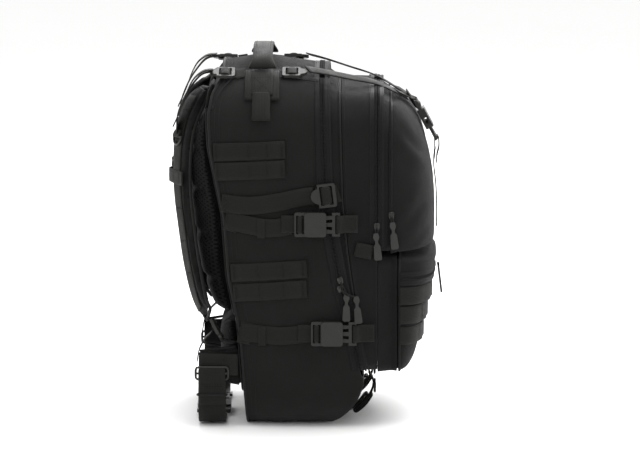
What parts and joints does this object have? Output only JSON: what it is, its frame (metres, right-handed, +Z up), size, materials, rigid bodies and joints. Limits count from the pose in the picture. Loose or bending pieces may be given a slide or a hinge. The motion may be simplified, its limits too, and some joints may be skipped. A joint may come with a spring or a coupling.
{
  "type": "trauma backpack",
  "caption": "Tall black medical backpack with a clamshell main compartment, two front pockets, side compression buckles, padded shoulder straps and a waist belt.",
  "frame": {"origin": "under the middle of the bounding box, on the ground", "axes": "+Z up, +Y towards the wearer's back, -Y towards the pockets, -X the wearer's left"},
  "size_m": [0.3562, 0.3826, 0.52],
  "materials": {
    "nylon_fabric": "matte black packcloth, coated nylon weave",
    "webbing": "ribbed nylon webbing, slightly sheened",
    "air_mesh": "open black spacer mesh over foam",
    "black_plastic": "satin black moulded acetal",
    "zip_pull": "satin moulded zip pull",
    "stiff_sheet": "plain plastic sheet"
  },
  "bodies": {
    "root": {"main_shell": "nylon_fabric", "back_pad": "air_mesh", "lumbar_pad": "air_mesh", "frame_sheet": "stiff_sheet", "hydration_sleeve": "nylon_fabric", "hip_wing_left": "nylon_fabric", "harness_webbing_left": "webbing", "bottom_strap_left": "webbing", "hip_wing_right": "nylon_fabric", "harness_webbing_right": "webbing", "bottom_strap_right": "webbing"},
    "front_section": {"lid_shell": "nylon_fabric", "second_shell": "nylon_fabric", "lower_gusset": "nylon_fabric", "upper_plug_left": "black_plastic", "lower_plug_left": "black_plastic", "upper_plug_right": "black_plastic", "lower_plug_right": "black_plastic"},
    "upper_panel": {"upper_panel": "nylon_fabric"},
    "upper_cover": {"upper_cover": "nylon_fabric", "front_plug": "black_plastic", "front_strap": "webbing"},
    "lower_face": {"lower_face": "nylon_fabric"},
    "carry_handle": {"carry_handle": "webbing"},
    "top_straps": {"top_strap_left": "webbing", "top_strap_right": "webbing", "front_socket": "black_plastic"},
    "shoulder_left": {"shoulder_strap_left": "nylon_fabric", "strap_lock_left": "black_plastic", "load_lifter_strap_left": "webbing"},
    "sternum_left": {"sternum_strap_left": "webbing", "sternum_socket": "black_plastic"},
    "waist_left": {"waist_strap_left": "webbing", "waist_socket": "black_plastic"},
    "upper_strap_left": {"upper_strap_left": "webbing", "upper_socket_left": "black_plastic"},
    "lower_strap_left": {"lower_strap_left": "webbing", "lower_socket_left": "black_plastic"},
    "side_adjust_lock_left": {"side_adjust_lock_left": "black_plastic"},
    "top_lock_left": {"top_lock_left": "black_plastic"},
    "load_lifter_lock_left": {"load_lifter_lock_left": "black_plastic"},
    "shoulder_right": {"shoulder_strap_right": "nylon_fabric", "strap_lock_right": "black_plastic", "load_lifter_strap_right": "webbing"},
    "sternum_right": {"sternum_strap_right": "webbing", "sternum_plug": "black_plastic"},
    "waist_right": {"waist_strap_right": "webbing", "waist_plug": "black_plastic"},
    "upper_strap_right": {"upper_strap_right": "webbing", "upper_socket_right": "black_plastic"},
    "lower_strap_right": {"lower_strap_right": "webbing", "lower_socket_right": "black_plastic"},
    "side_adjust_lock_right": {"side_adjust_lock_right": "black_plastic"},
    "top_lock_right": {"top_lock_right": "black_plastic"},
    "load_lifter_lock_right": {"load_lifter_lock_right": "black_plastic"},
    "main_zip_pull_a": {"main_zip_pull_a": "zip_pull"},
    "main_zip_pull_b": {"main_zip_pull_b": "zip_pull"},
    "second_zip_pull": {"second_zip_pull": "zip_pull"},
    "upper_zip_pull": {"upper_zip_pull": "zip_pull"},
    "lower_zip_pull": {"lower_zip_pull": "zip_pull"}
  },
  "joints": [
    {"name": "main_opening", "type": "hinge", "parent": "root", "child": "front_section", "pos_m": [0, -0.09295, 0.07], "axis": [1, 0, 0], "range_deg": [0, 80]},
    {"name": "second_opening", "type": "hinge", "parent": "front_section", "child": "upper_panel", "pos_m": [0, -0.17795, 0.24], "axis": [-1, 0, 0], "range_deg": [-45, 0]},
    {"name": "upper_pocket_opening", "type": "hinge", "parent": "upper_panel", "child": "upper_cover", "pos_m": [0, -0.17795, 0.241], "axis": [-1, 0, 0], "range_deg": [-40, 0]},
    {"name": "lower_pocket_opening", "type": "hinge", "parent": "front_section", "child": "lower_face", "pos_m": [0, -0.14195, 0.076], "axis": [-1, 0, 0], "range_deg": [-45, 0]},
    {"name": "carry_handle_swing", "type": "hinge", "parent": "root", "child": "carry_handle", "pos_m": [0, 0.06005, 0.49], "axis": [1, 0, 0], "range_deg": [-20, 20]},
    {"name": "shoulder_swing_left", "type": "hinge", "parent": "root", "child": "shoulder_left", "pos_m": [-0.06, 0.13805, 0.474], "axis": [1, 0, 0], "range_deg": [0, 24]},
    {"name": "sternum_slide_left", "type": "slide", "parent": "shoulder_left", "child": "sternum_left", "axis": [0, 0, 1], "range_m": [-0.03, 0.03]},
    {"name": "waist_swing_left", "type": "hinge", "parent": "root", "child": "waist_left", "pos_m": [-0.15, 0.13005, 0.082], "axis": [1, 0, 0], "range_deg": [0, 80]},
    {"name": "upper_strap_swing_left", "type": "hinge", "parent": "root", "child": "upper_strap_left", "pos_m": [-0.158, 0.11105, 0.293], "axis": [0, 0, -1], "range_deg": [0, 70]},
    {"name": "lower_strap_swing_left", "type": "hinge", "parent": "root", "child": "lower_strap_left", "pos_m": [-0.157, 0.09205, 0.135], "axis": [0, 0, -1], "range_deg": [0, 70]},
    {"name": "side_adjust_tilt_left", "type": "hinge", "parent": "root", "child": "side_adjust_lock_left", "pos_m": [-0.168, -0.04295, 0.328], "axis": [0, 0, 1], "range_deg": [0, 40]},
    {"name": "top_lock_tilt_left", "type": "hinge", "parent": "root", "child": "top_lock_left", "pos_m": [-0.094, 0.03205, 0.493], "axis": [-1, 0, 0], "range_deg": [0, 40]},
    {"name": "load_lifter_lock_tilt_left", "type": "hinge", "parent": "root", "child": "load_lifter_lock_left", "pos_m": [-0.094, 0.09905, 0.491], "axis": [1, 0, 0], "range_deg": [0, 40]},
    {"name": "shoulder_swing_right", "type": "hinge", "parent": "root", "child": "shoulder_right", "pos_m": [0.06, 0.13805, 0.474], "axis": [1, 0, 0], "range_deg": [0, 24]},
    {"name": "sternum_slide_right", "type": "slide", "parent": "shoulder_right", "child": "sternum_right", "axis": [0, 0, 1], "range_m": [-0.03, 0.03]},
    {"name": "waist_swing_right", "type": "hinge", "parent": "root", "child": "waist_right", "pos_m": [0.15, 0.13005, 0.082], "axis": [1, 0, 0], "range_deg": [0, 80]},
    {"name": "upper_strap_swing_right", "type": "hinge", "parent": "root", "child": "upper_strap_right", "pos_m": [0.158, 0.11105, 0.293], "axis": [0, 0, 1], "range_deg": [0, 70]},
    {"name": "lower_strap_swing_right", "type": "hinge", "parent": "root", "child": "lower_strap_right", "pos_m": [0.157, 0.09205, 0.135], "axis": [0, 0, 1], "range_deg": [0, 70]},
    {"name": "side_adjust_tilt_right", "type": "hinge", "parent": "root", "child": "side_adjust_lock_right", "pos_m": [0.168, -0.04295, 0.328], "axis": [0, 0, -1], "range_deg": [0, 40]},
    {"name": "top_lock_tilt_right", "type": "hinge", "parent": "root", "child": "top_lock_right", "pos_m": [0.094, 0.03205, 0.493], "axis": [-1, 0, 0], "range_deg": [0, 40]},
    {"name": "load_lifter_lock_tilt_right", "type": "hinge", "parent": "root", "child": "load_lifter_lock_right", "pos_m": [0.094, 0.09905, 0.491], "axis": [1, 0, 0], "range_deg": [0, 40]},
    {"name": "top_strap_lift", "type": "hinge", "parent": "upper_cover", "child": "top_straps", "pos_m": [0, 0.00005, 0.494], "axis": [-1, 0, 0], "range_deg": [0, 105]},
    {"name": "main_zip_slide_a", "type": "slide", "parent": "root", "child": "main_zip_pull_a", "axis": [0, 0.1701, 0.9854], "range_m": [0, 0.07]},
    {"name": "main_zip_slide_b", "type": "slide", "parent": "front_section", "child": "main_zip_pull_b", "axis": [0, 0.1701, 0.9854], "range_m": [0, 0.07]},
    {"name": "second_zip_slide", "type": "slide", "parent": "front_section", "child": "second_zip_pull", "axis": [0, 0, 1], "range_m": [0, 0.12]},
    {"name": "upper_zip_slide", "type": "slide", "parent": "upper_panel", "child": "upper_zip_pull", "axis": [0, 0, 1], "range_m": [0, 0.1]},
    {"name": "lower_zip_slide", "type": "slide", "parent": "lower_face", "child": "lower_zip_pull", "axis": [1, 0, 0], "range_m": [-0.04, 0.16]}
  ],
  "couplings": [
    {"joint": "sternum_slide_right", "follows": "sternum_slide_left", "ratio": 1}
  ]
}
